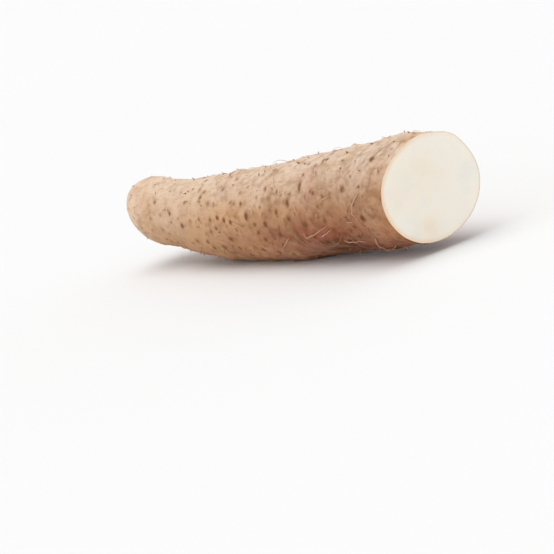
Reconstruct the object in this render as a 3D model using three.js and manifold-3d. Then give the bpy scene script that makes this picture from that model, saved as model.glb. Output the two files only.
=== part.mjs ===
// A cut piece of Chinese yam lying on its belly: one long tuber with a rounded far end, a waist behind it,
// a slanted knife cut at the near end, and root stubs and curling rootlets growing out of its skin.
// Millimetres, +Z up, +X along the tuber towards the cut. The origin is in the flat spot that it rests on.
import * as THREE from "three";
import { mergeVertices } from "three/addons/utils/BufferGeometryUtils.js";
import Module from "manifold-3d";

const wasm = await Module();
wasm.setup();

// Driving dimensions of the tuber.
const tuberLength = 295; // far tip to the middle of the cut
const restPlace = 152; // from the far tip to the middle of the flat spot
const bodyRadius = 29.2; // the thick stretch behind the cut
const tipRadius = 24.2; // the bulb at the far end, before its cap rounds it off
const capLength = 33; // the rounded far end
const shoulder = { start: 44, end: 167 }; // where the tuber swells from tip to body radius
const waist = { place: 47, depth: 2.2, spread: 30 }; // the narrowing behind the bulb
const neck = { place: 296, depth: 1.3, spread: 26 }; // the slight narrowing at the cut
const flatness = 0.954; // width over round, and round over height
const sag = { depth: 10.7, lean: 1.55 }; // the belly's bow, deeper towards the far end
const restTilt = 0.03; // slope of the tuber as it lies, cut end lower
const flatDepth = 1.6; // how much of the belly the flat spot takes off
const cutNormal = new THREE.Vector3(1, -0.4, -0.09).normalize(); // a knife cut, turned towards one side

// Knobs and hollows of the skin: place along the tuber, angle round it, height and spreads.
const knobs = [
  { place: tuberLength - 6, angle: 0.98, height: 3.2, along: 32, around: 0.36 },
  { place: tuberLength - 4, angle: 1.55, height: 2.1, along: 18, around: 0.31 },
  { place: tuberLength - 10, angle: 2.66, height: 2.1, along: 30, around: 0.77 },
  { place: tuberLength - 4, angle: 3.5, height: -0.55, along: 20, around: 0.45 },
  { place: 161, angle: 1.25, height: -2.2, along: 14, around: 0.8 },
  { place: 120, angle: 1.25, height: 0.7, along: 14, around: 0.7 },
  { place: 100, angle: 1.35, height: -0.45, along: 30, around: 0.7 },
  { place: 57, angle: 1.3, height: 0.55, along: 16, around: 0.6 },
  { place: 20, angle: 1.4, height: -0.35, along: 14, around: 0.6 },
  { place: 84, angle: 2.9, height: 1.2, along: 22, around: 0.6 },
  { place: 205, angle: 0.2, height: 1.5, along: 24, around: 0.7 },
  { place: 240, angle: 3.6, height: -1.1, along: 26, around: 0.6 },
  { place: 20, angle: 4.2, height: 0.9, along: 22, around: 0.8 },
];
// Long swells that keep the skin from being a plain round surface.
const swells = [
  { length: 96, turns: 2, phase: 0.4, height: 0.35 },
  { length: 61, turns: -3, phase: 2.1, height: 0.25 },
  { length: 37, turns: 1, phase: 4.0, height: 0.2 },
];

// Root stubs and rootlets, at their real size.
const stubs = {
  count: 150,
  first: 6,
  last: 288,
  radius: 0.9,
  shortest: 1.2,
  longest: 2.7,
  lean: 0.9,
  jitter: 4,
};
const young = { start: 20, end: 110, least: 0.5 }; // towards the tip the skin is younger, its stubs shorter
const strands = {
  count: 30,
  first: 100,
  last: 274,
  crowding: 1.5, // above 1, more of them grow near the cut
  angle: 3.5, // the side that most of them grow on
  radius: 0.4,
  shortest: 12,
  longest: 26,
  lift: 2.2, // highest rise off the skin
  rise: 0.12, // how far through its rise a strand starts
  span: 0.75, // how much of a full rise and fall it makes
  heading: 1, // largest turn of its start away from going round the tuber
  curl: 1.2, // largest turn from start to end
};
const rootDepth = 1.5; // how far a root is sunk into the tuber
const rootClearance = 1.5; // least gap from a root to the resting surface and to the cut

// Facets.
const sidesRound = 52;
const stepsInCap = 8;
const stepsInBody = 46;
const overrun = 45; // stock past the cut's middle, which the knife takes away
const stockSize = 400;
const stubSides = 4;
const strandSides = 4;
const strandSteps = 6;
const mergeDistance = 1e-4; // corners closer than this are one
const frameStep = 0.5; // how far apart the skin is sampled for its directions

// Even spacing of points over the skin, from the plastic number, and a seeded draw for the jitter.
const spacingAlong = 0.7548776662;
const spacingRound = 0.569840291;
const drawFactor = 1664525;
const drawStep = 1013904223;
const drawRange = 2 ** 32;
let drawState = 20731;
function draw() {
  drawState = (Math.imul(drawState, drawFactor) + drawStep) >>> 0;
  return drawState / drawRange;
}

const fraction = (value) => value - Math.floor(value);
const bell = (value, spread) => Math.exp(-((value / spread) ** 2));
const turnBetween = (a, b) => Math.atan2(Math.sin(a - b), Math.cos(a - b));

// Radius of the plain tuber at a distance from the far tip.
function radiusAt(place) {
  const swell = THREE.MathUtils.smoothstep(place, shoulder.start, shoulder.end);
  let radius = tipRadius + (bodyRadius - tipRadius) * swell;
  for (const n of [waist, neck]) radius -= n.depth * bell(place - n.place, n.spread);
  return radius;
}

// Share of the radius left by the round cap at the far end.
function capShare(place) {
  const short = Math.max(0, 1 - place / capLength);
  return Math.sqrt(Math.max(0, 1 - short * short));
}

// Height of the skin over the plain tuber: knobs, hollows and swells.
function reliefAt(place, angle) {
  let height = 0;
  for (const k of knobs)
    height += k.height * bell(place - k.place, k.along) * bell(turnBetween(angle, k.angle), k.around);
  for (const w of swells)
    height += w.height * Math.sin((2 * Math.PI * place) / w.length + w.turns * angle + w.phase);
  return height;
}

// Bow of the centreline, before the belly is set on the surface.
function bowAt(place) {
  const t = place / tuberLength;
  return -4 * sag.depth * t * (1 - t) * (1 + sag.lean * (0.5 - t)) - restTilt * (place - restPlace);
}

const lowestPlain = bowAt(restPlace) - radiusAt(restPlace) / flatness;
const centreHeight = -lowestPlain - flatDepth;

// A point of the skin, from its place along the tuber and its angle round it (0 is +Y, a quarter turn is +Z).
function skinPoint(place, angle, share = 1) {
  const radius = share * capShare(place) * (radiusAt(place) + reliefAt(place, angle));
  return new THREE.Vector3(
    place - restPlace,
    radius * Math.cos(angle) * flatness,
    centreHeight + bowAt(place) + (radius * Math.sin(angle)) / flatness,
  );
}

// The skin's outward direction, and its directions along and round the tuber.
function skinFrame(place, angle) {
  const turn = frameStep / bodyRadius;
  const along = skinPoint(place + frameStep, angle).sub(skinPoint(place - frameStep, angle)).normalize();
  const round = skinPoint(place, angle + turn).sub(skinPoint(place, angle - turn)).normalize();
  return { along, round, out: round.clone().cross(along).normalize() };
}

// A closed geometry as a solid that can be joined and cut.
function solidOf(geometry) {
  const plain = geometry.clone();
  plain.deleteAttribute("normal");
  plain.deleteAttribute("uv");
  const merged = mergeVertices(plain, mergeDistance);
  return new wasm.Manifold(
    new wasm.Mesh({
      numProp: 3,
      vertProperties: new Float32Array(merged.attributes.position.array),
      triVerts: new Uint32Array(merged.index.array),
    }),
  );
}

// The uncut tuber: a turned blank, drawn out to the skin's own shape.
function tuberBlank() {
  const profile = [];
  for (let i = 0; i <= stepsInCap; i++) {
    const place = capLength * (1 - Math.cos((Math.PI / 2) * (i / stepsInCap)));
    profile.push(new THREE.Vector2(capShare(place), place));
  }
  for (let i = 1; i <= stepsInBody; i++) {
    const place = capLength + (tuberLength + overrun - capLength) * (i / stepsInBody);
    profile.push(new THREE.Vector2(1, place));
  }
  profile.push(new THREE.Vector2(0, tuberLength + overrun));
  const blank = new THREE.LatheGeometry(profile, sidesRound);
  const position = blank.attributes.position;
  for (let i = 0; i < position.count; i++) {
    const place = position.getY(i);
    const angle = Math.atan2(position.getX(i), position.getZ(i));
    const full = capShare(place) || 1;
    const share = Math.hypot(position.getX(i), position.getZ(i)) / full;
    const point = skinPoint(place, angle, share);
    position.setXYZ(i, point.x, point.y, point.z);
  }
  return solidOf(blank);
}

const cutMiddle = new THREE.Vector3(tuberLength - restPlace, 0, centreHeight + bowAt(tuberLength));

// The stock that the knife takes away, and the stock under the resting surface.
function knifeStock() {
  const turn = new THREE.Quaternion().setFromUnitVectors(new THREE.Vector3(1, 0, 0), cutNormal);
  const box = new THREE.BoxGeometry(stockSize, stockSize, stockSize).translate(stockSize / 2, 0, 0);
  return solidOf(box.applyQuaternion(turn).translate(cutMiddle.x, cutMiddle.y, cutMiddle.z));
}
function surfaceStock() {
  return solidOf(new THREE.BoxGeometry(stockSize, stockSize, stockSize).translate(0, 0, -stockSize / 2));
}

// True if a point of a root is clear of the resting surface and of the cut.
function isClear(point) {
  const pastCut = point.clone().sub(cutMiddle).dot(cutNormal);
  return point.z > rootClearance && pastCut < -rootClearance;
}

// Share of a stub's full length that is reached at a distance from the far tip.
function ageAt(place) {
  return young.least + (1 - young.least) * THREE.MathUtils.smoothstep(place, young.start, young.end);
}

// Short stubs of broken roots, as leaning cones, spread evenly over the skin.
function rootStubs() {
  const made = [];
  for (let k = 0; k < stubs.count; k++) {
    const alongJitter = (draw() - 0.5) * 2 * stubs.jitter;
    const roundJitter = ((draw() - 0.5) * 2 * stubs.jitter) / bodyRadius;
    const fullLength = stubs.shortest + (stubs.longest - stubs.shortest) * draw();
    const lean = (draw() - 0.5) * 2 * stubs.lean;
    const spread = stubs.first + (stubs.last - stubs.first) * fraction(0.5 + k * spacingAlong);
    const place = THREE.MathUtils.clamp(spread + alongJitter, stubs.first, stubs.last);
    const angle = 2 * Math.PI * fraction(0.5 + k * spacingRound) + roundJitter;
    const length = fullLength * ageAt(place);
    const { round, out } = skinFrame(place, angle);
    const way = out.clone().addScaledVector(round, Math.tan(lean)).normalize();
    const root = skinPoint(place, angle);
    if (!isClear(root) || !isClear(root.clone().addScaledVector(way, length))) continue;
    const cone = new THREE.ConeGeometry(stubs.radius, length + rootDepth, stubSides, 1);
    cone.translate(0, (length - rootDepth) / 2, 0);
    cone.applyQuaternion(new THREE.Quaternion().setFromUnitVectors(new THREE.Vector3(0, 1, 0), way));
    made.push(solidOf(cone.translate(root.x, root.y, root.z)));
  }
  return made;
}

// Rootlets that leave the skin, curl round the tuber and come back close to it. Most of them grow low on one
// side and near the cut.
function curlingRootlets() {
  const section = new THREE.Shape();
  for (let i = 0; i < strandSides; i++) {
    const turn = (2 * Math.PI * i) / strandSides;
    const corner = new THREE.Vector2(Math.cos(turn), Math.sin(turn)).multiplyScalar(strands.radius);
    if (i === 0) section.moveTo(corner.x, corner.y);
    else section.lineTo(corner.x, corner.y);
  }
  const made = [];
  for (let k = 0; k < strands.count; k++) {
    const first = strands.last - (strands.last - strands.first) * draw() ** strands.crowding;
    const share = 2 * fraction(0.5 + k * spacingRound) - 1;
    const start = strands.angle + Math.PI * share * Math.abs(share);
    const length = strands.shortest + (strands.longest - strands.shortest) * draw();
    const heading = (draw() - 0.5) * 2 * strands.heading;
    const curl = (draw() - 0.5) * 2 * strands.curl;
    const side = draw() < 0.5 ? -1 : 1;
    const path = [];
    for (let i = 0; i <= strandSteps; i++) {
      const t = i / strandSteps;
      const way = heading + curl * t;
      const place = first + length * t * Math.sin(way);
      const angle = start + (side * length * t * Math.cos(way)) / bodyRadius;
      const rise = Math.sin(Math.PI * (strands.rise + strands.span * t));
      const height = -rootDepth + (rootDepth + strands.lift) * rise;
      path.push(skinPoint(place, angle).addScaledVector(skinFrame(place, angle).out, height));
    }
    if (!path.every(isClear)) continue;
    const extrudePath = new THREE.CatmullRomCurve3(path);
    const options = { steps: strandSteps, bevelEnabled: false, extrudePath };
    made.push(solidOf(new THREE.ExtrudeGeometry(section, options)));
  }
  return made;
}

// The finished tuber: cut, set on its flat spot, with its roots grown out of it.
function tuber() {
  let solid = tuberBlank().subtract(knifeStock()).subtract(surfaceStock());
  for (const root of [...rootStubs(), ...curlingRootlets()]) solid = solid.add(root);
  const mesh = solid.getMesh();
  const geometry = new THREE.BufferGeometry()
    .setAttribute("position", new THREE.BufferAttribute(new Float32Array(mesh.vertProperties), 3))
    .setIndex(new THREE.BufferAttribute(new Uint32Array(mesh.triVerts), 1));
  geometry.computeVertexNormals();
  const skin = new THREE.MeshStandardMaterial({ color: 0xb88f6c, roughness: 0.8, metalness: 0 });
  const made = new THREE.Mesh(geometry, skin);
  made.name = "tuber";
  return made;
}

const yam = new THREE.Group();
yam.add(tuber());

export default yam;
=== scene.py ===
import math

import bmesh
import bpy
import numpy as np
from mathutils import Matrix, Vector, noise


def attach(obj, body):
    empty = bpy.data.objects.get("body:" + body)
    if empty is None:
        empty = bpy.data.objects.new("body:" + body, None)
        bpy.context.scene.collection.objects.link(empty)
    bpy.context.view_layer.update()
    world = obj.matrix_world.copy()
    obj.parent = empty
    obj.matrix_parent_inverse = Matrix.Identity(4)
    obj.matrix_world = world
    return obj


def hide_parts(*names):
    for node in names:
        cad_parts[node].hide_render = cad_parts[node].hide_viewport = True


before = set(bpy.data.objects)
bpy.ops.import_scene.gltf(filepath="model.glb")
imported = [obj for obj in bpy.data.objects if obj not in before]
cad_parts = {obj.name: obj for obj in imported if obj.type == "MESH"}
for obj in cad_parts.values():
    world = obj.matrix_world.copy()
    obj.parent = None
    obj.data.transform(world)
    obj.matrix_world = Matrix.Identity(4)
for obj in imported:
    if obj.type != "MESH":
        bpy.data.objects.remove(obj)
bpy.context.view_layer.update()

mm = 0.001
print("frame loaded:", sorted(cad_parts))

# the tuber's plain form, in millimetres and radians, the same as its solid
tuber = {
    "length": 295.0,  # far tip to the middle of the cut
    "rest": 152.0,  # far tip to the middle of the flat spot, where the origin is
    "bodyRadius": 29.2,
    "tipRadius": 24.2,
    "cap": 33.0,  # the rounded far end
    "shoulder": (44.0, 167.0),  # where it swells from tip to body
    "waist": (47.0, 2.2, 30.0),  # place, depth, spread
    "neck": (296.0, 1.3, 26.0),  # the same, at the cut
    "flatness": 0.954,
    "sag": (10.7, 1.55),  # depth and lean of the belly's bow
    "tilt": 0.03,  # slope as it lies
    "flat": 1.6,  # how much the flat spot takes off
    "cutNormal": (1.0, -0.4, -0.09),
}
# place, angle, height, spread along, spread around
knobs = (
    (tuber["length"] - 6, 0.98, 3.2, 32, 0.36),
    (tuber["length"] - 4, 1.55, 2.1, 18, 0.31),
    (tuber["length"] - 10, 2.66, 2.1, 30, 0.77),
    (tuber["length"] - 4, 3.5, -0.55, 20, 0.45),
    (161, 1.25, -2.2, 14, 0.8),
    (120, 1.25, 0.7, 14, 0.7),
    (100, 1.35, -0.45, 30, 0.7),
    (57, 1.3, 0.55, 16, 0.6),
    (20, 1.4, -0.35, 14, 0.6),
    (84, 2.9, 1.2, 22, 0.6),
    (205, 0.2, 1.5, 24, 0.7),
    (240, 3.6, -1.1, 26, 0.6),
    (20, 4.2, 0.9, 22, 0.8),
)
# length, turns, phase, height
swells = ((96, 2, 0.4, 0.35), (61, -3, 2.1, 0.25), (37, 1, 4.0, 0.2))


def smoothStep(start, end, value):
    t = np.clip((value - start) / (end - start), 0, 1)
    return t * t * (3 - 2 * t)


def bell(value, spread):
    return np.exp(-((value / spread) ** 2))


def turnBetween(a, b):
    return np.arctan2(np.sin(a - b), np.cos(a - b))


def radiusAt(place):
    swell = smoothStep(*tuber["shoulder"], place)
    radius = tuber["tipRadius"] + (tuber["bodyRadius"] - tuber["tipRadius"]) * swell
    for middle, depth, spread in (tuber["waist"], tuber["neck"]):
        radius = radius - depth * bell(place - middle, spread)
    return radius


def capShare(place):
    short = np.clip(1 - place / tuber["cap"], 0, 1)
    return np.sqrt(1 - short * short)


def reliefAt(place, angle):
    height = 0
    for kPlace, kAngle, kHeight, along, around in knobs:
        height = height + kHeight * bell(place - kPlace, along) * bell(turnBetween(angle, kAngle), around)
    for length, turns, phase, wHeight in swells:
        height = height + wHeight * np.sin(2 * math.pi * place / length + turns * angle + phase)
    return height


def bowAt(place):
    depth, lean = tuber["sag"]
    t = place / tuber["length"]
    return -4 * depth * t * (1 - t) * (1 + lean * (0.5 - t)) - tuber["tilt"] * (place - tuber["rest"])


lowestPlain = bowAt(tuber["rest"]) - radiusAt(tuber["rest"]) / tuber["flatness"]
centreHeight = -lowestPlain - tuber["flat"]


# points of the skin, in millimetres; angle 0 is +Y, a quarter turn is +Z
def skinPoints(place, angle, lift=0.0, share=1.0):
    radius = share * capShare(place) * (radiusAt(place) + reliefAt(place, angle) + lift)
    across = radius * np.cos(angle) * tuber["flatness"]
    up = centreHeight + bowAt(place) + radius * np.sin(angle) / tuber["flatness"]
    return np.stack(np.broadcast_arrays(place - tuber["rest"], across, up), -1)


# the skin's directions along, round and out of the tuber
def skinFrame(place, angle, step=0.5):
    turn = step / tuber["bodyRadius"]
    along = skinPoints(place + step, angle) - skinPoints(place - step, angle)
    around = skinPoints(place, angle + turn) - skinPoints(place, angle - turn)
    along = along / np.linalg.norm(along)
    around = around / np.linalg.norm(around)
    out = np.cross(around, along)
    return along, around, out / np.linalg.norm(out)


cutNormal = np.array(tuber["cutNormal"]) / np.linalg.norm(tuber["cutNormal"])
cutMiddle = skinPoints(tuber["length"], 0.0, share=0.0)

# even spacing over the skin and a seeded draw, both as in the solid
spacing = {"along": 0.7548776662, "round": 0.569840291}
drawRule = {"factor": 1664525, "step": 1013904223, "range": 2**32}


def drawer(state):
    def draw(low=0.0, high=1.0):
        nonlocal state
        state = (state * drawRule["factor"] + drawRule["step"]) % drawRule["range"]
        return low + (high - low) * state / drawRule["range"]

    return draw


def eitherSide(draw):
    return -1 if draw() < 0.5 else 1


def fraction(value):
    return value - math.floor(value)


# place and angle of one of many marks, spread evenly over the skin from the first place to the last
def evenPlace(form, number, shift=(0.5, 0.5)):
    along = fraction(shift[0] + number * spacing["along"])
    angle = 2 * math.pi * fraction(shift[1] + number * spacing["round"])
    return form["first"] + (form["last"] - form["first"]) * along, angle


# a point at a height over the skin
def overSkin(place, angle, height):
    return skinPoints(place, angle) + skinFrame(place, angle)[2] * height


# camera: it stands round the cut's middle and turns until the tuber lies in the frame as in the photograph
view = {
    "azimuth": 48.04,
    "elevation": 11.0,
    "distance": 844.1 * mm,
    "turn": (6.44, -1.446, -16.9),  # yaw, pitch and roll, in degrees
    "lens": 100.0,
    "sensor": 36.0,
    "near": 10 * mm,
    "pixels": 554,  # width and height of the picture
}


def turnAbout(axis, degrees):
    return Matrix.Rotation(math.radians(degrees), 4, axis)


def cameraStand():
    yaw, pitch, roll = view["turn"]
    stand = turnAbout("Z", view["azimuth"]) @ turnAbout("X", 90 - view["elevation"])
    place = Vector(cutMiddle * mm) + stand @ Vector((0, 0, view["distance"]))
    aim = turnAbout("Y", yaw) @ turnAbout("X", pitch) @ turnAbout("Z", roll)
    return Matrix.Translation(place) @ stand @ aim


def makeCamera():
    data = bpy.data.cameras.new("camera")
    data.lens = view["lens"]
    data.sensor_width = view["sensor"]
    data.clip_start = view["near"]
    camera = bpy.data.objects.new("camera", data)
    bpy.context.scene.collection.objects.link(camera)
    camera.matrix_world = cameraStand()
    bpy.context.scene.camera = camera
    print("camera set")


makeCamera()

# the skin is looked up at every millimetre as far as this, and at so many angles to the radian
seen = {"last": 312, "perRadian": 100}


# places and angles of the skin that the camera sees, and the pixels across and down where they show
def skinInPicture():
    along = np.arange(1.0, seen["last"] + 1)
    around = np.arange(2 * math.pi * seen["perRadian"]) / seen["perRadian"]
    places, angles = np.meshgrid(along, around, indexing="ij")
    points = skinPoints(places, angles)
    stand = cameraStand()
    toCamera = np.array(stand.inverted())
    inCamera = points * mm @ toCamera[:3, :3].T + toCamera[:3, 3]
    scale = view["pixels"] * view["lens"] / view["sensor"] / inCamera[..., 2]
    across = view["pixels"] / 2 - scale * inCamera[..., 0]
    down = view["pixels"] / 2 + scale * inCamera[..., 1]
    out = np.cross(np.gradient(points, axis=1), np.gradient(points, axis=0))
    facing = np.sum(out * (np.array(stand.translation) / mm - points), -1) > 0
    shows = facing & ((points - cutMiddle) @ cutNormal <= 0)
    return [values[shows] for values in (places, angles, across, down)]


shownPlaces, shownAngles, shownAcross, shownDown = skinInPicture()


# place and angle of the skin under a pixel of the photograph
def skinUnder(across, down):
    nearest = np.hypot(shownAcross - across, shownDown - down).argmin()
    return shownPlaces[nearest], shownAngles[nearest]


# root stubs and rootlets, placed by the same rule and the same draws as in the solid
stubs = {
    "count": 150,
    "first": 6,
    "last": 288,
    "shortest": 1.2,
    "longest": 2.7,
    "lean": 0.9,
    "jitter": 4,  # how far they stray from the even spacing
}
strands = {
    "count": 30,
    "first": 100,
    "last": 274,
    "crowding": 1.5,  # how closely they crowd towards the cut
    "angle": 3.5,  # the side on which most of them grow
    "shortest": 12,
    "longest": 26,
    "lift": 2.2,
    "rise": 0.12,  # start and span of the arch, in half turns
    "span": 0.75,
    "heading": 1,
    "curl": 1.2,
    "steps": 18,
}
rootSeed = 20731
rootDepth = 1.5  # a rootlet starts this deep
rootClearance = 1.5  # kept from the floor and from the cut
# towards the tip the skin is younger: scars and stubs are smaller there
young = {"start": 20.0, "end": 110.0, "least": 0.5}


def ageAt(place):
    return young["least"] + (1 - young["least"]) * smoothStep(young["start"], young["end"], place)


def isClear(point):
    return point[2] > rootClearance and np.dot(point - cutMiddle, cutNormal) < -rootClearance


def stubPlaces(draw):
    found = []
    for k in range(stubs["count"]):
        alongJitter = draw(-1, 1) * stubs["jitter"]
        roundJitter = draw(-1, 1) * stubs["jitter"] / tuber["bodyRadius"]
        fullLength = draw(stubs["shortest"], stubs["longest"])
        lean = draw(-1, 1) * stubs["lean"]
        spread, turn = evenPlace(stubs, k)
        place = min(max(spread + alongJitter, stubs["first"]), stubs["last"])
        angle = turn + roundJitter
        length = fullLength * ageAt(place)
        around, out = skinFrame(place, angle)[1:]
        way = out + around * math.tan(lean)
        way = way / np.linalg.norm(way)
        root = skinPoints(place, angle)
        if isClear(root) and isClear(root + way * length):
            found.append((place, angle, length, way))
    return found


# a place that is likelier the nearer it lies to the cut
def crowdedPlace(draw):
    return strands["last"] - (strands["last"] - strands["first"]) * draw() ** strands["crowding"]


# a root that leaves the skin, turns as it goes and arches over it
def archedPath(first, start, course, arch, steps):
    length, heading, curl, side = course
    depth, lift, rise, span = arch
    path = []
    for i in range(steps + 1):
        t = i / steps
        way = heading + curl * t
        place = first + length * t * math.sin(way)
        angle = start + side * length * t * math.cos(way) / tuber["bodyRadius"]
        height = -depth + (depth + lift) * math.sin(math.pi * (rise + span * t))
        path.append(overSkin(place, angle, height))
    return path


def strandPaths(draw):
    found = []
    arch = (rootDepth, strands["lift"], strands["rise"], strands["span"])
    for k in range(strands["count"]):
        first = crowdedPlace(draw)
        share = 2 * fraction(0.5 + k * spacing["round"]) - 1
        start = strands["angle"] + math.pi * share * abs(share)
        length = draw(strands["shortest"], strands["longest"])
        heading = draw(-1, 1) * strands["heading"]
        curl = draw(-1, 1) * strands["curl"]
        course = (length, heading, curl, eitherSide(draw))
        path = archedPath(first, start, course, arch, strands["steps"])
        if all(isClear(p) for p in path):
            found.append(path)
    return found


solidDraw = drawer(rootSeed)
stubList = stubPlaces(solidDraw)
strandList = strandPaths(solidDraw)
print("roots placed:", len(stubList), "stubs,", len(strandList), "rootlets")

# scars where roots came away: raised, dark and roundish
scars = {
    "count": 480,
    "jitter": 6.0,
    "first": 4.0,
    "last": 306.0,
    "halfAround": (0.8, 1.4),
    "halfAlong": (0.95, 1.6),
    "large": (0.3, 1.35),  # share of large ones, and how much larger
    "tilt": 0.5,
    "swell": (0.2, 0.55),
    "wart": (0.45, 0.5),  # share that end in a wart, and its height
    "pit": -0.45,
    "core": (0.4, 1.0),  # share of the wart's height or of the pit's depth
    "dark": (0.15, 1.0, 1.7),  # faintest, darkest, and how rare the dark ones are
    "apart": 6.0,  # distance kept from the main scars
    "bold": 0.15,  # how much bolder they are on the side without main scars
    "boldSide": (-0.1, 0.6),  # where that side starts and is reached, across the tuber
    "stub": (1.1, 0.9, 0.4, 0.5),  # a stub's foot: round, along, swell, darkness
    "reach": 9.0,  # how far along the tuber a scar is worked out
    "swellSpread": 6.0,  # how the swell, the core and the dark fall off outwards
    "coreFall": 1.2,
    "darkFall": 0.55,
    "mainSeed": 511,
    "seed": 2503765917,
}
# the scars that show most in the photograph, listed one by one:
# pixel across, pixel down, half length round, half width along, darkness
mainScars = (
    (150.6, 218.5, 1.2, 1.5, 0.55),
    (154.8, 202.6, 1.4, 1.5, 0.75),
    (162.9, 230, 1.4, 1.5, 0.6),
    (160, 215.7, 1.2, 1.9, 0.5),
    (169.6, 213.7, 1.3, 1.4, 0.95),
    (181.1, 192.4, 1.3, 1.4, 0.6),
    (182, 226, 1.5, 1.6, 0.95),
    (183.8, 202.1, 1.2, 1.3, 0.8),
    (196.9, 241, 1.4, 1.5, 0.65),
    (190.4, 221.4, 1.4, 1.5, 0.65),
    (206.1, 180.6, 1.4, 1.5, 0.7),
    (200.4, 197.8, 1.6, 1.8, 0.85),
    (198.9, 219.1, 1.2, 1.4, 0.65),
    (204.8, 192.5, 1.4, 1.5, 0.75),
    (208.3, 241.3, 1.4, 1.6, 0.8),
    (214.8, 247.9, 1.4, 1.6, 0.85),
    (210.6, 231.6, 1.2, 1.4, 0.65),
    (207.7, 203.3, 2.0, 2.2, 0.55),
    (210.6, 220, 1.4, 1.6, 0.75),
    (225.1, 246.7, 1.7, 1.8, 0.9),
    (222.9, 189.6, 1.4, 1.4, 0.65),
    (223.6, 220.4, 1.6, 1.6, 0.95),
    (237.3, 179.6, 1.5, 1.7, 0.65),
    (230.3, 222.2, 1.4, 1.7, 0.95),
    (240, 203.9, 1.3, 1.3, 0.85),
    (246.3, 216.4, 2.1, 1.7, 1.0),
    (265.9, 239.7, 1.3, 1.5, 0.8),
    (265.9, 224.1, 1.5, 1.6, 0.95),
    (265.4, 189.3, 1.8, 1.3, 0.75),
    (280.6, 234.3, 1.6, 1.9, 0.75),
    (276.2, 192, 2.0, 1.3, 0.75),
    (276.2, 212.5, 1.8, 1.5, 0.85),
    (289.1, 218.3, 1.3, 1.5, 0.8),
    (287.4, 203.4, 2.0, 1.5, 0.95),
    (308.8, 164.3, 1.3, 1.3, 0.65),
    (299, 186.6, 2.8, 1.4, 0.95),
    (305.2, 225, 2.2, 2.6, 0.8),
    (325.3, 220.5, 1.6, 1.5, 0.75),
    (322.4, 196.6, 1.3, 1.5, 0.7),
    (341.7, 189.1, 1.8, 1.5, 1.0),
    (353.2, 203, 1.8, 1.3, 0.7),
    (363.7, 218.3, 1.6, 1.6, 1.0),
    (372.3, 159.5, 1.5, 1.8, 1.0),
    (231, 239, 1.5, 1.6, 0.85),
    (240.2, 247.9, 1.6, 1.4, 0.85),
    (264, 249.5, 1.5, 1.6, 0.85),
)
# creases round the tuber beside the cut: distance from the cut, its slope, angle, spread, depth
creases = (
    (14.5, 6.0, 1.9, 0.42, 0.75),
    (4.3, 1.5, 2.0, 0.45, 0.3),
    (9.0, 3.0, 2.5, 0.5, 0.35),
    (6.0, -2.0, 1.2, 0.8, 0.3),
    (10.5, 0.5, 1.9, 0.9, 0.25),
    (17.0, 2.0, 3.0, 0.7, 0.3),
    (22.0, -3.0, 2.3, 0.7, 0.3),
    (28.0, 4.0, 3.4, 0.9, 0.25),
    (36.0, -2.0, 2.8, 0.8, 0.25),
    (5.0, 1.0, 4.6, 1.2, 0.3),
    (13.0, 2.0, 5.4, 1.0, 0.25),
    (17.0, -2.0, 0.6, 0.8, 0.25),
)
# patches of colour on the skin: place, angle, spread along, spread round, strength
patches = {
    # the first ones, on the tip's end, are painted light
    "tipLight": ((6, 2.6, 30, 1.6, 1.0), (22, 3.0, 15, 0.9, 0.35)),
    "pale": (
        (62, 2.95, 20, 0.5, 0.5),
        (130, 2.14, 11, 0.25, 0.35),
        (154, 2.71, 14, 0.15, 0.6),
        (178, 2.45, 16, 0.25, 0.4),
        (198, 2.48, 14, 0.2, 0.5),
        (248, 2.84, 8, 0.14, 0.4),
        (265, 2.6, 13, 0.35, 0.5),
        (276, 3.2, 6, 0.25, 0.3),
    ),
    "ash": ((250, 2.0, 40, 0.45, 0.5), (200, 0.8, 40, 0.5, 0.45), (120, 0.2, 30, 0.4, 0.35)),
    "gold": (
        (142, 2.85, 24, 0.3, 0.8),
        # this one, on the belly's edge, is painted light thrown up from the floor
        (152, 3.75, 26, 0.25, 0.5),
        (195, 3.0, 20, 0.25, 0.3),
        (264, 3.65, 11, 0.3, 0.5),
        (150, 5.9, 40, 0.5, 0.5),
    ),
    # amber: a reddish-brown tint, its colour made darker as painted shade
    "amber": ((190, 3.35, 24, 0.3, 0.65), (212, 3.65, 26, 0.4, 0.85), (235, 6.2, 30, 0.4, 0.4)),
    "red": (
        (212, 3.33, 9, 0.2, 1.1),
        (224, 3.5, 11, 0.18, 0.8),
        (238, 3.78, 20, 0.28, 0.8),
        (248, 4.25, 34, 0.35, 0.8),
        (225, 5.6, 30, 0.3, 0.5),
    ),
    "darkAndShade": (
        # the first two, low on the side near the cut, are painted contact shade; the rest are darker patches
        (226, 3.95, 22, 0.3, 1.6),
        (226, 4.25, 28, 0.3, 0.6),
        (232, 2.34, 7, 0.12, 0.18),
        (264, 2.67, 7, 0.12, 0.16),
        (112, 2.47, 9, 0.22, 0.1),
        (120, 5.2, 30, 0.3, 0.35),
        (60, 4.6, 25, 0.4, 0.25),
    ),
    "edge": ((280, 3.5, 4.5, 0.5, 0.55), (300, 5.6, 6, 0.6, 0.6)),
}
# warm patches on the cut: across, up, spread, strength
fleshPatches = ((-5, 44, 13, 0.7), (-7, 15, 7, 1.0), (-21, 36, 8, 0.4))
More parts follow.
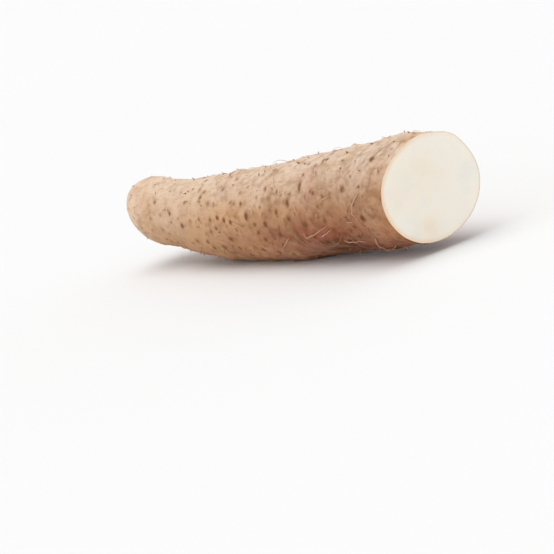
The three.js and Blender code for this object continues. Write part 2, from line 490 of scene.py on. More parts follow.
# the skin's fine relief: grain and ridges have a size along, a size round and a height
relief = {
    "grain": ((11.0, 10.0, 0.42), (6.5, 5.0, 0.28), (3.4, 2.8, 0.14), (1.8, 1.8, 0.05)),
    "grainShift": 17,  # so that one layer of grain doesn't repeat another
    "ridges": (2.8, 15.0, 0.2),
    "ridgeReach": 70.0,  # the ridges run out this far from the cut
    "calm": (14.0, 0.3),  # towards the cut the relief grows flatter: reach, least share
    "rimFade": (0.5, 6.0),  # scars and creases run out towards the rim
    "settle": (0.0, 20.0),  # this far from the cut, the relief lies evenly about the solid's skin
    "creaseWidth": 0.75,
    "creaseWander": (9.0, 1.6),  # size and shift
}
mesh = {
    "stepsAround": 224,
    "stepsInCap": 50,
    "step": 0.87,
    "overrun": 15.0,  # past the middle of the cut, to be cut off
    "blank": 30.0,  # radius before it is dressed
    "weld": 1e-5,
}


# a line turned once round an axis through the origin
def turnLine(bm, line, axis, steps, weld):
    edges = [bm.edges.new(pair) for pair in zip(line, line[1:])]
    bmesh.ops.spin(
        bm,
        geom=line + edges,
        cent=(0, 0, 0),
        axis=axis,
        dvec=(0, 0, 0),
        angle=2 * math.pi,
        steps=steps,
        use_merge=True,
        use_duplicate=False,
    )
    bmesh.ops.remove_doubles(bm, verts=bm.verts, dist=weld)
    bmesh.ops.recalc_face_normals(bm, faces=bm.faces)


def turnedBlank():
    bm = bmesh.new()
    cap, end = tuber["cap"], tuber["length"] + mesh["overrun"]
    quarter = np.linspace(0, math.pi / 2, mesh["stepsInCap"], endpoint=False)
    body = np.linspace(cap, end, int((end - cap) / mesh["step"]))
    places = np.concatenate([cap * (1 - np.cos(quarter)), body])
    line = [bm.verts.new((p, mesh["blank"] * s, 0)) for p, s in zip(places, capShare(places))]
    turnLine(bm, line, (1, 0, 0), mesh["stepsAround"], mesh["weld"])
    return bm


def noiseAt(points):
    return np.array([noise.noise(p) for p in points])


# every scar: place, angle, half length round, half width along, tilt, swell, core, darkness
def scarMarks():
    drawMain = drawer(scars["mainSeed"])
    draw = drawer(scars["seed"])
    faint, darkest, rarity = scars["dark"]
    wartShare, wart = scars["wart"]
    largeShare, larger = scars["large"]
    picked = [(*skinUnder(across, down), *form) for across, down, *form in mainScars]
    marks = []
    for place, angle, halfAround, halfAlong, dark in picked:
        age = ageAt(place)
        core = (wart if drawMain() < wartShare else scars["pit"]) * age
        swell = drawMain(*scars["swell"]) * age
        marks.append((place, angle, halfAround, halfAlong, 0.0, swell, core, dark))
    for k in range(scars["count"]):
        place, angle = evenPlace(scars, k)
        place += draw(-1, 1) * scars["jitter"]
        angle += draw(-1, 1) * scars["jitter"] / tuber["bodyRadius"]
        age = ageAt(place)
        bold = 1 + scars["bold"] * smoothStep(*scars["boldSide"], math.cos(angle))
        size = age * bold * (larger if draw() < largeShare else 1)
        halfAround = draw(*scars["halfAround"]) * size
        halfAlong = draw(*scars["halfAlong"]) * size
        tilt = draw(-1, 1) * scars["tilt"]
        swell = draw(*scars["swell"]) * size
        core = (wart if draw() < wartShare else scars["pit"]) * draw(*scars["core"]) * age
        dark = (faint + (darkest - faint) * draw() ** rarity) * age * bold
        away = [math.hypot(place - m[0], turnBetween(angle, m[1]) * tuber["bodyRadius"]) for m in picked]
        if min(away) > scars["apart"]:
            marks.append((place, angle, halfAround, halfAlong, tilt, swell, core, dark))
    halfAround, halfAlong, swell, dark = scars["stub"]
    for stub in stubList:
        place, angle = stub[:2]
        age = ageAt(place)
        marks.append((place, angle, halfAround, halfAlong, 0.0, swell * age, 0.0, dark * age))
    return marks


# height of the scars over the skin, and how dark they are
def scarRelief(place, angle, radius):
    height = np.zeros_like(place)
    dark = np.zeros_like(place)
    for sPlace, sAngle, halfAround, halfAlong, tilt, swell, core, shade in scarMarks():
        near = np.flatnonzero(np.abs(place - sPlace) < scars["reach"])
        u = turnBetween(angle[near], sAngle) * radius[near]
        v = place[near] - sPlace
        uTurned = u * math.cos(tilt) + v * math.sin(tilt)
        vTurned = v * math.cos(tilt) - u * math.sin(tilt)
        away = (uTurned / halfAround) ** 2 + (vTurned / halfAlong) ** 2
        swelling = swell * np.exp(-away / scars["swellSpread"])
        height[near] += swelling + core * np.exp(-away * scars["coreFall"])
        dark[near] = np.maximum(dark[near], shade * np.exp(-away * scars["darkFall"]))
    return height, dark


def patchAt(spots, place, angle):
    strength = np.zeros_like(place)
    for sPlace, sAngle, along, around, share in spots:
        strength += share * bell(place - sPlace, along) * bell(turnBetween(angle, sAngle), around)
    return strength


# depth of the creases, and the distance from the cut
def creaseRelief(place, angle):
    plain = skinPoints(place, angle)
    fromCut = -(plain - cutMiddle) @ cutNormal
    size, shift = relief["creaseWander"]
    wander = noiseAt(plain / size) * shift
    height = np.zeros_like(place)
    for distance, slope, middle, spread, depth in creases:
        turn = turnBetween(angle, middle)
        away = fromCut + wander - distance - slope * turn
        height -= depth * bell(away, relief["creaseWidth"]) * bell(turn, spread)
    return height, fromCut


# how far the relief lifts the skin, and the masks for its colours
def skinRelief(place, angle):
    radius = radiusAt(place)
    scarHeight, scarDark = scarRelief(place, angle, radius)
    creaseHeight, fromCut = creaseRelief(place, angle)
    lift = (scarHeight + creaseHeight) * smoothStep(*relief["rimFade"], fromCut)
    ring = np.stack([np.cos(angle) * radius, np.sin(angle) * radius], -1)
    reach, least = relief["calm"]
    calm = least + (1 - least) * smoothStep(0, reach, fromCut)
    for number, (along, around, height) in enumerate(relief["grain"]):
        field = np.column_stack([place / along + relief["grainShift"] * number, ring / around])
        lift += height * calm * ageAt(place) * noiseAt(field)
    along, around, height = relief["ridges"]
    field = np.column_stack([place / along, ring / around])
    nearCut = np.clip(1 - fromCut / relief["ridgeReach"], 0, 1)
    lift += height * calm * nearCut * noiseAt(field)
    lift -= lift.mean() * smoothStep(*relief["settle"], fromCut)
    masks = {"scar": scarDark, "crease": -creaseHeight, "fromCut": fromCut, "upward": (1 + np.sin(angle)) / 2}
    for name, spots in patches.items():
        masks[name] = patchAt(spots, place, angle)
    return lift, masks


def dressTuber():
    bm = turnedBlank()
    blank = np.array([v.co for v in bm.verts])
    place = blank[:, 0]
    angle = np.arctan2(blank[:, 2], blank[:, 1])
    lift, masks = skinRelief(place, angle)
    points = skinPoints(place, angle, lift)
    points[:, 2] = np.maximum(points[:, 2], 0)  # the flat spot
    for v, co in zip(bm.verts, points * mm):
        v.co = co
    for name, values in masks.items():
        layer = bm.verts.layers.float.new(name)
        for v, value in zip(bm.verts, values):
            v[layer] = value
    print("skin shaped:", len(bm.verts), "points")
    return bm


# the cut: rings from the rim to the middle, by their distance from the rim
cut = {
    "rings": (0.15, 0.6, 1.3, 2.0, 3.0, 4.5, 6.5, 9, 11.5, 14, 16.5, 19, 21.5, 24, 26.5),
    "skin": 0.3,  # nearer to the rim than this, the cut shows the skin's edge
    "uneven": 0.22,  # height of the waves that the knife left
    "wave": 9.0,
    "fade": 2.0,  # the face is flat at the rim and as uneven as it gets from here inwards
    "onPlane": 1e-7,
}
skinSlot, fleshSlot = 0, 1


# warm patches, and the slight unevenness that the knife left
def dressFlesh(verts, rimLayer, warmLayer):
    for v in verts:
        for across, up, spread, share in fleshPatches:
            away = math.hypot(v.co.y / mm - across, v.co.z / mm - up)
            v[warmLayer] += share * bell(away, spread)
        wave = noise.noise(v.co / (cut["wave"] * mm)) * min(1, v[rimLayer] / cut["fade"])
        v.co += Vector(cutNormal) * wave * cut["uneven"] * mm


def cutTuber(bm):
    rimLayer = bm.verts.layers.float["fromCut"]
    warmLayer = bm.verts.layers.float.new("warm")
    made = bmesh.ops.bisect_plane(
        bm,
        geom=bm.verts[:] + bm.edges[:] + bm.faces[:],
        dist=cut["onPlane"],
        plane_co=cutMiddle * mm,
        plane_no=cutNormal,
        clear_outer=True,
    )
    loop = [e for e in made["geom_cut"] if isinstance(e, bmesh.types.BMEdge)]
    rim = list(dict.fromkeys(v for e in loop for v in e.verts))
    middle = sum((v.co for v in rim), Vector()) / len(rim)
    meanRadius = sum((v.co - middle).length for v in rim) / len(rim) / mm
    rimEdges = loop
    last = 0.0
    flesh = []
    for offset in cut["rings"]:
        grown = bmesh.ops.extrude_edge_only(bm, edges=loop)["geom"]
        verts = [g for g in grown if isinstance(g, bmesh.types.BMVert)]
        faces = [g for g in grown if isinstance(g, bmesh.types.BMFace)]
        links = dict.fromkeys(e for v in verts for e in v.link_edges)
        loop = [e for e in links if all(v in verts for v in e.verts)]
        shrink = (meanRadius - offset) / (meanRadius - last)
        bmesh.ops.scale(bm, vec=(shrink,) * 3, verts=verts, space=Matrix.Translation(-middle))
        for v in verts:
            v[rimLayer] = offset
        for f in faces:
            f.material_index = skinSlot if offset < cut["skin"] else fleshSlot
        last = offset
        flesh += verts
    cap = bmesh.ops.edgeloop_fill(bm, edges=loop)["faces"]
    poked = bmesh.ops.poke(bm, faces=cap)
    for f in poked["faces"]:
        f.material_index = fleshSlot
    for v in poked["verts"]:
        v[rimLayer] = meanRadius
    dressFlesh(flesh + poked["verts"], rimLayer, warmLayer)
    for e in rimEdges:
        e.smooth = False
    bmesh.ops.recalc_face_normals(bm, faces=bm.faces)
    print("cut made:", round(meanRadius * 2, 1), "mm across")


def pieceFrom(bm, name, materials):
    data = bpy.data.meshes.new(name)
    for f in bm.faces:
        f.smooth = True
    bm.to_mesh(data)
    bm.free()
    for m in materials:
        data.materials.append(m)
    piece = bpy.data.objects.new(name, data)
    bpy.context.scene.collection.objects.link(piece)
    return piece


# node helpers: an input is set to a value or linked to a socket
def setInput(tree, node, key, value):
    if isinstance(value, bpy.types.NodeSocket):
        tree.links.new(value, node.inputs[key])
    else:
        node.inputs[key].default_value = value


def addNode(tree, kind, inputs=None, **settings):
    node = tree.nodes.new(kind)
    for key, value in settings.items():
        setattr(node, key, value)
    for key, value in (inputs or {}).items():
        setInput(tree, node, key, value)
    return node


mixSockets = {"factor": 0, "first": 6, "second": 7, "result": 2}  # where the mix node has its colours


def mixColour(tree, factor, first, second, blend="MIX"):
    node = addNode(tree, "ShaderNodeMix", data_type="RGBA", blend_type=blend)
    setInput(tree, node, mixSockets["factor"], factor)
    for key, value in (("first", first), ("second", second)):
        setInput(tree, node, mixSockets[key], (*value, 1) if isinstance(value, tuple) else value)
    return node.outputs[mixSockets["result"]]


def mapRange(tree, value, low, high, toLow=0.0, toHigh=1.0):
    inputs = {"Value": value, "From Min": low, "From Max": high, "To Min": toLow, "To Max": toHigh}
    return addNode(tree, "ShaderNodeMapRange", inputs, interpolation_type="SMOOTHSTEP").outputs["Result"]


def calc(tree, operation, first, second):
    return addNode(tree, "ShaderNodeMath", {0: first, 1: second}, operation=operation).outputs[0]


def times(tree, first, second):
    return calc(tree, "MULTIPLY", first, second)


def plus(tree, first, second):
    return calc(tree, "ADD", first, second)


# a stretched noise that follows the piece, as a mask and as a height;
# its inputs are lumps a metre along and round, the mask's start and end, and the detail
fleckInputs = {"Along": 100.0, "Round": 100.0, "Low": 0.4, "High": 0.6, "Detail": 3.0}
fleckRoughness = 0.6
noiseMiddle = 0.5  # the height that a noise has on average


def makeFleckGroup():
    group = bpy.data.node_groups.new("flecks", "ShaderNodeTree")
    for name, default in fleckInputs.items():
        socket = group.interface.new_socket(name=name, in_out="INPUT", socket_type="NodeSocketFloat")
        socket.default_value = default
    for name in ("Mask", "Height"):
        group.interface.new_socket(name=name, in_out="OUTPUT", socket_type="NodeSocketFloat")
    given = group.nodes.new("NodeGroupInput").outputs
    result = group.nodes.new("NodeGroupOutput").inputs
    coords = addNode(group, "ShaderNodeTexCoord").outputs["Object"]
    axes = {"X": given["Along"], "Y": given["Round"], "Z": given["Round"]}
    stretch = addNode(group, "ShaderNodeCombineXYZ", axes).outputs[0]
    scaled = addNode(group, "ShaderNodeVectorMath", {0: coords, 1: stretch}, operation="MULTIPLY").outputs[0]
    fieldInputs = {"Vector": scaled, "Scale": 1.0, "Roughness": fleckRoughness, "Detail": given["Detail"]}
    height = addNode(group, "ShaderNodeTexNoise", fieldInputs).outputs[0]
    group.links.new(mapRange(group, height, given["Low"], given["High"]), result["Mask"])
    group.links.new(height, result["Height"])
    return group


fleckGroup = makeFleckGroup()


def flecks(tree, *values):
    node = addNode(tree, "ShaderNodeGroup", node_tree=fleckGroup)
    for key, value in {**fleckInputs, **dict(zip(fleckInputs, values))}.items():
        node.inputs[key].default_value = value
    return node.outputs["Mask"], node.outputs["Height"]


def attribute(tree, name):
    return addNode(tree, "ShaderNodeAttribute", attribute_name=name).outputs["Fac"]


def objectAxis(tree, axis):
    coords = addNode(tree, "ShaderNodeTexCoord").outputs["Object"]
    return addNode(tree, "ShaderNodeSeparateXYZ", {0: coords}).outputs[axis]


def colourRamp(tree, factor, stops):
    node = addNode(tree, "ShaderNodeValToRGB", {"Fac": factor})
    elements = node.color_ramp.elements
    elements[0].position, elements[1].position = stops[0][0], stops[-1][0]
    for stop in stops[1:-1]:
        elements.new(stop[0])
    for element, stop in zip(elements, stops):
        element.color = (*stop[1], 1)
    return node.outputs["Color"]


# a new material; what is the same all over it is set on the shader's own sockets
def startMaterial(name, plainInputs):
    material = bpy.data.materials.new(name)
    material.use_nodes = True
    tree = material.node_tree
    shader = tree.nodes["Principled BSDF"]
    for key, value in plainInputs.items():
        shader.inputs[key].default_value = value
    return material, tree, shader


# what varies: the colour, the roughness and a fine bump
def finishMaterial(tree, shader, look, colour, dullness, height):
    strength, distance = look["bump"]
    bump = addNode(tree, "ShaderNodeBump", {"Strength": strength, "Distance": distance, "Height": height})
    setInput(tree, shader, "Base Color", colour)
    setInput(tree, shader, "Roughness", mapRange(tree, dullness, *look["roughness"]))
    setInput(tree, shader, "Normal", bump.outputs["Normal"])


# skin colours from the belly, at 0, to the back, at 1; the darker belly is partly the skin's own colour and
# partly painted shade from below
skinLook = {
    "body": (
        (0.0, (0.22, 0.077, 0.033)),
        (0.28, (0.37, 0.143, 0.066)),
        (0.62, (0.515, 0.285, 0.155)),
        (0.97, (0.73, 0.56, 0.43)),
    ),
    "tip": (
        (0.0, (0.48, 0.255, 0.13)),
        (0.35, (0.57, 0.335, 0.178)),
        (0.65, (0.645, 0.41, 0.252)),
        (1.0, (0.73, 0.57, 0.43)),
    ),
    "tipEnd": (-0.07, 0.035),  # where the tip's colours pass into the body's
    "tipMottle": 0.65,  # share of the mottling that the tip has
    # painted light on the tip's end
    "tipLight": (0.80, 0.605, 0.44),
    "pale": (0.76, 0.585, 0.435),
    "ash": (0.70, 0.57, 0.46),
    # painted contact shade low near the cut, and darker patches
    "darkAndShade": (0.125, 0.037, 0.014),
    "gold": (0.70, 0.42, 0.23),
    # a reddish-brown tint, made darker as painted shade
    "amber": (0.34, 0.14, 0.065),
    "red": (0.36, 0.115, 0.058),
    "edge": (0.56, 0.30, 0.12),
    "rose": (0.57, 0.29, 0.22),
    "straw": (0.65, 0.45, 0.235),
    "darkBrown": (0.30, 0.155, 0.085),
    "shade": (0.70, 0.60, 0.52),
    "scuff": (1.26, 1.45, 1.65),  # above 1, so that it lightens
    "streak": (0.34, 0.19, 0.115),
    "halo": (0.60, 0.47, 0.34),
    "scar": (0.165, 0.078, 0.034),
    "wander": (0.5, 0.12),  # how far the colours wander, up the sides and along the tuber
    "fineShare": 0.08,
    "ragged": 0.35,  # how uneven the edges of the scars are
    "relief": (0.25, 0.5),  # shares of the streaks and of the fine grain in the bump
    "bump": (0.35, 0.0005),  # strength, and depth in metres
    "roughness": (0.3, 0.7, 0.68, 0.86),  # a noise's start and end, and the roughness there
    "plainInputs": {"Specular IOR Level": 0.18},
}
# layers of colour: tint, blend, lumps a metre along and round, mask's start and end, detail, share
skinLayers = (
    ("rose", "MIX", 26, 34, 0.5, 0.7, 3, 0.35),
    ("straw", "MIX", 40, 55, 0.52, 0.72, 3, 0.4),
    ("shade", "MULTIPLY", 75, 105, 0.44, 0.7, 2, 0.65),
    ("shade", "MULTIPLY", 150, 220, 0.46, 0.72, 2, 0.75),
    ("shade", "MULTIPLY", 320, 450, 0.46, 0.74, 2, 0.35),
    ("scuff", "MULTIPLY", 170, 220, 0.55, 0.76, 3, 0.3),
)
# the other noises: lumps a metre along and round, mask's start and end, detail
skinLumps = {
    "wander": (60, 52),
    "broken": (170, 120),
    "darkBrown": (62, 80, 0.54, 0.72, 5.0),
    "scuff": (430, 120, 0.54, 0.78),
    "streak": (480, 110, 0.54, 0.8),
    "fine": (1700, 1300, 0.5, 0.75),
}
# masks that follow a value: its start and end, and the mask there
skinMasks = {
    "broken": (0.35, 0.65, 0.45, 1.0),
    "darkBrown": (0.75, 0.2, 0.12, 0.6),  # by the height on the tuber
    "scuff": (80, 25, 0.0, 0.3),  # by the distance from the cut, as for the streaks
    "streak": (120, 30, 0.04, 0.4),
    "crease": (0.05, 0.5, 0.0, 0.6),
    "halo": (0.05, 0.7, 0.0, 0.8),
    "scar": (0.42, 0.85, 0.0, 0.85),
}


# colours from belly to back and from tip to body, with the height and the body's share; darker towards the
# belly, partly as painted shade
def skinGround(tree, wander):
    upShift, alongShift = skinLook["wander"]
    level = plus(tree, attribute(tree, "upward"), times(tree, wander, upShift))
    along = plus(tree, objectAxis(tree, "X"), times(tree, wander, alongShift))
    bodyShare = mapRange(tree, along, *skinLook["tipEnd"])
    tipColour = colourRamp(tree, level, skinLook["tip"])
    bodyColour = colourRamp(tree, level, skinLook["body"])
    return mixColour(tree, bodyShare, tipColour, bodyColour), level, bodyShare


def skinMaterial():
    material, tree, shader = startMaterial("skin", skinLook["plainInputs"])
    fromCut = attribute(tree, "fromCut")
    patchHeight = flecks(tree, *skinLumps["wander"])[1]
    colour, level, bodyShare = skinGround(tree, calc(tree, "SUBTRACT", patchHeight, noiseMiddle))
    broken = mapRange(tree, flecks(tree, *skinLumps["broken"])[1], *skinMasks["broken"])
    for name in patches:
        colour = mixColour(tree, times(tree, attribute(tree, name), broken), colour, skinLook[name])
    mottle = mapRange(tree, bodyShare, 0.0, 1.0, skinLook["tipMottle"], 1.0)
    for tint, blend, *lumps, share in skinLayers:
        mask = times(tree, times(tree, flecks(tree, *lumps)[0], mottle), share)
        colour = mixColour(tree, mask, colour, skinLook[tint], blend)
    # dark brown blotches, more of them towards the belly
    darkBrownMask = times(tree, flecks(tree, *skinLumps["darkBrown"])[0], mottle)
    darkBrownMask = times(tree, darkBrownMask, mapRange(tree, level, *skinMasks["darkBrown"]))
    colour = mixColour(tree, darkBrownMask, colour, skinLook["darkBrown"])
    scuffMask = flecks(tree, *skinLumps["scuff"])[0]
    scuffMask = times(tree, scuffMask, mapRange(tree, fromCut, *skinMasks["scuff"]))
    colour = mixColour(tree, scuffMask, colour, skinLook["scuff"], "MULTIPLY")
    streakMask, streakHeight = flecks(tree, *skinLumps["streak"])
    streakMask = times(tree, streakMask, mapRange(tree, fromCut, *skinMasks["streak"]))
    colour = mixColour(tree, streakMask, colour, skinLook["streak"])
    fineMask, fineHeight = flecks(tree, *skinLumps["fine"])
    colour = mixColour(tree, times(tree, fineMask, skinLook["fineShare"]), colour, skinLook["streak"])
    # painted shade: darker in the creases
    creaseShadeMask = mapRange(tree, attribute(tree, "crease"), *skinMasks["crease"])
    colour = mixColour(tree, creaseShadeMask, colour, skinLook["darkBrown"])
    ragged = times(tree, calc(tree, "SUBTRACT", fineHeight, noiseMiddle), skinLook["ragged"])
    scarField = plus(tree, attribute(tree, "scar"), ragged)
    haloMask = mapRange(tree, scarField, *skinMasks["halo"])
    colour = mixColour(tree, haloMask, colour, skinLook["halo"], "MULTIPLY")
    scarMask = mapRange(tree, scarField, *skinMasks["scar"])
    colour = mixColour(tree, scarMask, colour, skinLook["scar"])
    streakShare, fineShare = skinLook["relief"]
    height = plus(tree, times(tree, streakHeight, streakShare), times(tree, fineHeight, fineShare))
    finishMaterial(tree, shader, skinLook, colour, patchHeight, height)
    return material


fleshLook = {
    "plain": (0.925, 0.875, 0.78),
    "warm": (0.90, 0.77, 0.60),
    "cool": (0.84, 0.83, 0.775),
    "rim": (0.88, 0.715, 0.52),
    "skinSide": (0.78, 0.64, 0.53),
    "dots": (0.80, 0.71, 0.57),
    "coolShare": 0.5,
    "dotShare": 0.2,
    "rimWobble": -2.5,  # how far the rim's band strays inwards, in millimetres
    "bump": (0.25, 0.0004),
    "roughness": (0.3, 0.7, 0.42, 0.56),
    "plainInputs": {
        "Subsurface Weight": 0.25,
        "Subsurface Radius": (1.0, 0.7, 0.45),
        "Subsurface Scale": 0.003,
    },
}
fleshLumps = {
    "warm": (120, 120, 0.4, 0.6, 1.0),
    "cool": (70, 62, 0.5, 0.75, 1.0),
    "dots": (800, 800, 0.6, 0.75),
    "rim": (90, 90),
}
fleshMasks = {
    "warm": (0.35, 0.65, 0.4, 0.8),
    "rim": (2.0, -0.8),  # by the distance from the rim, as for the skin's side
    "rimSide": (0.02, -0.018, 0.15, 1.0),  # across the tuber: the rim's band shows on one side
    "skinSide": (1.0, 0.1, 0.0, 0.6),
}


def fleshMaterial():
    material, tree, shader = startMaterial("flesh", fleshLook["plainInputs"])
    fromRim = attribute(tree, "fromCut")
    warmBroken = mapRange(tree, flecks(tree, *fleshLumps["warm"])[1], *fleshMasks["warm"])
    warmMask = times(tree, attribute(tree, "warm"), warmBroken)
    colour = mixColour(tree, warmMask, fleshLook["plain"], fleshLook["warm"])
    coolMask = times(tree, flecks(tree, *fleshLumps["cool"])[0], fleshLook["coolShare"])
    colour = mixColour(tree, coolMask, colour, fleshLook["cool"])
    dotMask, dotHeight = flecks(tree, *fleshLumps["dots"])
    colour = mixColour(tree, times(tree, dotMask, fleshLook["dotShare"]), colour, fleshLook["dots"])
    wobble = times(tree, flecks(tree, *fleshLumps["rim"])[1], fleshLook["rimWobble"])
    rimMask = mapRange(tree, plus(tree, fromRim, wobble), *fleshMasks["rim"])
    rimMask = times(tree, rimMask, mapRange(tree, objectAxis(tree, "Y"), *fleshMasks["rimSide"]))
    colour = mixColour(tree, rimMask, colour, fleshLook["rim"])
    skinMask = mapRange(tree, fromRim, *fleshMasks["skinSide"])
    colour = mixColour(tree, skinMask, colour, fleshLook["skinSide"])
    finishMaterial(tree, shader, fleshLook, colour, dotHeight, dotHeight)
    return material


rootLook = {
    "pale": (0.60, 0.365, 0.24),
    "rose": (0.56, 0.28, 0.185),
    "dark": (0.20, 0.10, 0.06),
    "bark": (0.37, 0.195, 0.105),
    "stub": (0.48, 0.275, 0.15),
    "hair": (0.37, 0.175, 0.10),
    "backHair": (0.56, 0.385, 0.26),
    "back": (0.03, 0.05),  # height at which the hairs take the back's colour
    "lumps": (48, 62, 0.42, 0.6, 1.0),
    "fineLumps": (1100, 1100, 0.5, 0.75),
    "fineShare": 0.3,
    "bump": (0.3, 0.0002),
    "roughness": (0.3, 0.7, 0.55, 0.8),
    "plainInputs": {"Specular IOR Level": 0.12},
}


def rootMaterial(name, first, second, onBack=None):
    material, tree, shader = startMaterial(name, rootLook["plainInputs"])
    mask = flecks(tree, *rootLook["lumps"])[0]
    colour = mixColour(tree, mask, rootLook[first], rootLook[second])
    if onBack:
        backMask = mapRange(tree, objectAxis(tree, "Z"), *rootLook["back"])
        colour = mixColour(tree, backMask, colour, rootLook[onBack])
    fineMask, fineHeight = flecks(tree, *rootLook["fineLumps"])
    colour = mixColour(tree, times(tree, fineMask, rootLook["fineShare"]), colour, rootLook["dark"])
    finishMaterial(tree, shader, rootLook, colour, fineHeight, fineHeight)
    return material


tuberBm = dressTuber()
cutTuber(tuberBm)
tuberPiece = pieceFrom(tuberBm, "tuberSkin", [skinMaterial(), fleshMaterial()])
print("tuber made:", len(tuberPiece.data.polygons), "faces")

strandBevel = 1  # steps of roundness, enough for lines this thin


# roots as tapering strands: each is a list of points and of radii, in millimetres
def strandPiece(name, strandsMade, material):
    curve = bpy.data.curves.new(name, "CURVE")
    curve.dimensions = "3D"
    curve.bevel_depth = mm
    curve.bevel_resolution = strandBevel
    curve.use_fill_caps = True
    for points, radii in strandsMade:
        spline = curve.splines.new("POLY")
        spline.points.add(len(points) - 1)
        for target, point, radius in zip(spline.points, points, radii):
            target.co = (*(np.array(point) * mm), 1)
            target.radius = radius
    shape = bpy.data.objects.new(name + "Curve", curve)
    bpy.context.scene.collection.objects.link(shape)
    bpy.context.view_layer.update()
    data = bpy.data.meshes.new_from_object(shape.evaluated_get(bpy.context.evaluated_depsgraph_get()))
    bpy.data.objects.remove(shape)
    bpy.data.curves.remove(curve)
    data.name = name
    data.materials.clear()
    data.materials.append(material)
    for f in data.polygons:
        f.use_smooth = True
    piece = bpy.data.objects.new(name, data)
    bpy.context.scene.collection.objects.link(piece)
    print(name + ":", len(data.polygons), "faces")
    return piece


# the solid's stubs with a bend and a taper, and more that are smaller
stubForm = {
    "radius": 0.5,
    "tip": 0.14,
    "thin": 0.6,  # share of the radius that the thinnest ones have
    "foot": 0.3,  # share of its length that a stub starts under the skin
    "bend": 1.5,
    "steps": 6,
    "more": 110,
    "shift": (0.27, 0.11),  # where their even spacing starts
    "jitter": 0.2,
    "leanRound": 1.3,
    "leanAlong": 0.7,
    "length": (0.5, 2.2),
    "shorter": 0.6,
    "seed": 77,
}


def smallStubs(draw):
    leanRound, leanAlong = stubForm["leanRound"], stubForm["leanAlong"]
    made = []
    for k in range(stubForm["more"]):
        place, turn = evenPlace(stubs, k, stubForm["shift"])
        angle = turn + draw(-1, 1) * stubForm["jitter"]
        along, around, out = skinFrame(place, angle)
        way = out + around * draw(-leanRound, leanRound) + along * draw(-leanAlong, leanAlong)
        length = draw(*stubForm["length"]) * stubForm["shorter"] * ageAt(place)
        made.append((place, angle, length, way / np.linalg.norm(way)))
    return made


def stubStrands():
    draw = drawer(stubForm["seed"])
    made = []
    for place, angle, length, way in stubList + smallStubs(draw):
        root = skinPoints(place, angle)
        if not isClear(root) or not isClear(root + way * length):
            continue
        sideways = skinFrame(place, angle)[1] * draw(-1, 1) * stubForm["bend"]
        t = np.linspace(-stubForm["foot"], 1, stubForm["steps"])
        points = [root + way * length * s + sideways * max(0, s) ** 2 for s in t]
        thickness = stubForm["radius"] * draw(stubForm["thin"], 1) * ageAt(place)
        made.append((points, thickness * (1 - np.clip(t, 0, 1)) + stubForm["tip"]))
    return made


rootletForm = {
    "radius": 0.48,
    "tip": 0.18,
    "rounds": 3,
    "corner": 0.25,  # share of a side that each round cuts off at a corner
    "lift": 1.6,
    "arch": (0.02, 0.85),  # start and span of the rise, in half turns
    "wave": 0.5,
    "waveTurn": 17,  # radians of wave from end to end
    "waveWay": (0.6, 0.3, 0.7),
}
# the rootlets that show most, as pixels across and down in the photograph
mainRootlets = (
    ((290, 236), (287.5, 241), (284.5, 246), (283.5, 250), (282.7, 256.1)),
    ((303, 230), (306, 237), (311.5, 235.7), (317.3, 232), (325.7, 226.8), (329.3, 224)),
    ((320.4, 238), (325, 234), (330, 230.4), (334.6, 227.7)),
    ((344.6, 222.5), (350.4, 220.8), (356.4, 222.1)),
    ((346, 216.4), (349, 207.4), (351.5, 200.4)),
    ((359.2, 191.7), (355, 200), (353.7, 208.4), (355, 215), (359, 221)),
    ((316, 204.8), (325, 199), (333.3, 194.4)),
)
# two more on the low side, as places and angles along the skin
lowRootlets = (
    ((264, 3.74), (260, 3.92), (259, 4.12), (260, 4.28), (267, 4.22), (273, 4.05)),
    ((232, 3.75), (240, 3.85), (249, 3.8), (255, 3.95)),
)


# corners cut again and again, until the line is a curve
def rounded(points):
    points = [np.array(p) for p in points]
    shares = (rootletForm["corner"], 1 - rootletForm["corner"])
    for i in range(rootletForm["rounds"]):
        points = [a + (b - a) * share for a, b in zip(points, points[1:]) for share in shares]
    return points


def rootletStrands():
    made = []
    start, span = rootletForm["arch"]
    waveWay = np.array(rootletForm["waveWay"])
    picked = [[skinUnder(*pixel) for pixel in route] for route in mainRootlets]
    for number, route in enumerate((*picked, *lowRootlets)):
        line = rounded(route)
        shares = np.linspace(0, 1, len(line))
        turns = shares * rootletForm["waveTurn"] + number
        waves = rootletForm["wave"] * np.sin(turns) * np.sin(math.pi * shares)
        points = []
        for (place, angle), share, wave in zip(line, shares, waves):
            height = rootletForm["lift"] * math.sin(math.pi * (span * share + start))
            points.append(overSkin(place, angle, height) + waveWay * wave)
        radii = rootletForm["tip"] + (rootletForm["radius"] - rootletForm["tip"]) * (1 - shares)
        made.append((points, radii))
    return made


# the solid's rootlets, and thin short hairs
hairForm = {
    "count": 220,
    "first": 105,
    "last": 284,
    "shift": (0.4, 0.6),
    "jitter": 0.2,
    "crowd": 5,  # every fifth one joins the crowd low on one side, near the cut
    "crowdSpread": 1,
    "short": 2.5,
    "long": 15,
    "rarity": 2,  # how rare the long ones are
    "heading": 1.4,
    "curl": 1.6,
    "lift": 1.6,
    "liftShare": (0.3, 1),
    "depth": 0.5,
    "rise": 0.1,  # start and span of the arch, in half turns
    "span": 0.6,
    "steps": 8,
    "radius": 0.13,
    "tip": 0.05,
    "strand": (0.28, 0.18),  # radius of the solid's rootlets, low on the tuber and on its back
    "seed": 903,
}


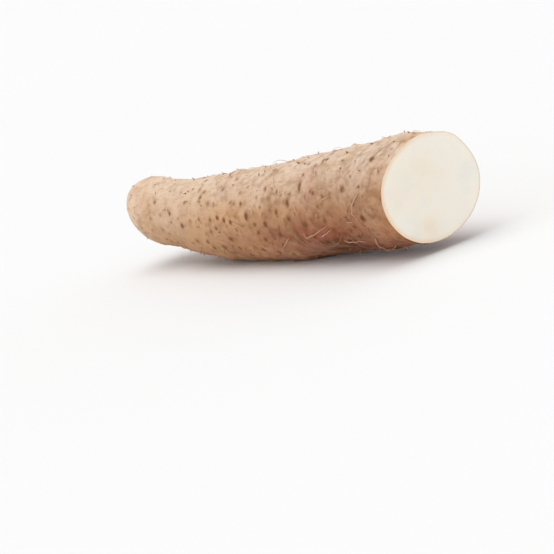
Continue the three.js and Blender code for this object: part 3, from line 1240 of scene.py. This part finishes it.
def hairPath(draw, number):
    first, turn = evenPlace(hairForm, number, hairForm["shift"])
    start = turn + draw(-1, 1) * hairForm["jitter"]
    if number % hairForm["crowd"] == 0:
        first = crowdedPlace(draw)
        start = strands["angle"] + draw(-1, 1) * hairForm["crowdSpread"]
    length = draw() ** hairForm["rarity"] * (hairForm["long"] - hairForm["short"]) + hairForm["short"]
    length = length * ageAt(first)
    heading = draw(-hairForm["heading"], hairForm["heading"])
    curl = draw(-hairForm["curl"], hairForm["curl"])
    course = (length, heading, curl, eitherSide(draw))
    lift = draw(*hairForm["liftShare"]) * hairForm["lift"]
    arch = (hairForm["depth"], lift, hairForm["rise"], hairForm["span"])
    return archedPath(first, start, course, arch, hairForm["steps"])


def hairStrands():
    draw = drawer(hairForm["seed"])
    made = []
    thick, fine = hairForm["strand"]
    for path in strandList:
        onBack = path[0][2] > centreHeight
        made.append((path, np.linspace(fine if onBack else thick, hairForm["tip"], len(path))))
    for number in range(hairForm["count"]):
        path = hairPath(draw, number)
        if all(isClear(p) for p in path):
            made.append((path, np.linspace(hairForm["radius"], hairForm["tip"], len(path))))
    return made


stubPiece = strandPiece("rootStubs", stubStrands(), rootMaterial("stub", "stub", "bark"))
rootletPiece = strandPiece("rootlets", rootletStrands(), rootMaterial("rootlet", "pale", "rose"))
hairPiece = strandPiece("rootHairs", hairStrands(), rootMaterial("hair", "hair", "bark", "backHair"))

for piece, slot in (
    (tuberPiece, "skin"),
    (stubPiece, "rootlet"),
    (rootletPiece, "rootlet"),
    (hairPiece, "rootlet"),
):
    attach(piece, "root")
    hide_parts("tuber")

# a plain pale floor that rises far behind the tuber on every side
floorForm = {
    "flat": 3.0,
    "rim": 14.0,
    "rise": 5.0,
    "steps": 12,
    "sides": 96,
    "weld": 1e-6,
    "plainInputs": {"Base Color": (0.84, 0.84, 0.84, 1), "Roughness": 0.9, "Specular IOR Level": 0.1},
}


def makeFloor():
    bm = bmesh.new()
    line = [bm.verts.new((0, 0, 0)), bm.verts.new((floorForm["flat"], 0, 0))]
    for t in np.linspace(0, 1, floorForm["steps"] + 1)[1:]:
        reach = floorForm["flat"] + (floorForm["rim"] - floorForm["flat"]) * t
        line.append(bm.verts.new((reach, 0, floorForm["rise"] * t * t)))
    turnLine(bm, line, (0, 0, 1), floorForm["sides"], floorForm["weld"])
    if bm.faces[0].normal.z < 0:
        bmesh.ops.reverse_faces(bm, faces=bm.faces)
    material = startMaterial("floor", floorForm["plainInputs"])[0]
    pieceFrom(bm, "floor", [material])


makeFloor()

# soft light from overhead, a little to the left, and a white surrounding that fills the shade
light = {"sun": 1.33, "sunAngle": 60.0, "sunFrom": (-0.05, -0.12, 0.94), "sky": 0.72}


def makeLight():
    data = bpy.data.lights.new("sun", "SUN")
    data.energy = light["sun"]
    data.angle = math.radians(light["sunAngle"])
    sun = bpy.data.objects.new("sun", data)
    sun.rotation_mode = "QUATERNION"
    sun.rotation_quaternion = Vector(light["sunFrom"]).to_track_quat("Z", "Y")
    bpy.context.scene.collection.objects.link(sun)
    world = bpy.data.worlds.new("studio")
    world.use_nodes = True
    sky = world.node_tree.nodes["Background"]
    sky.inputs["Color"].default_value = (1, 1, 1, 1)
    sky.inputs["Strength"].default_value = light["sky"]
    bpy.context.scene.world = world
    bpy.context.scene.view_settings.view_transform = "Standard"


makeLight()
print("stage and light set")
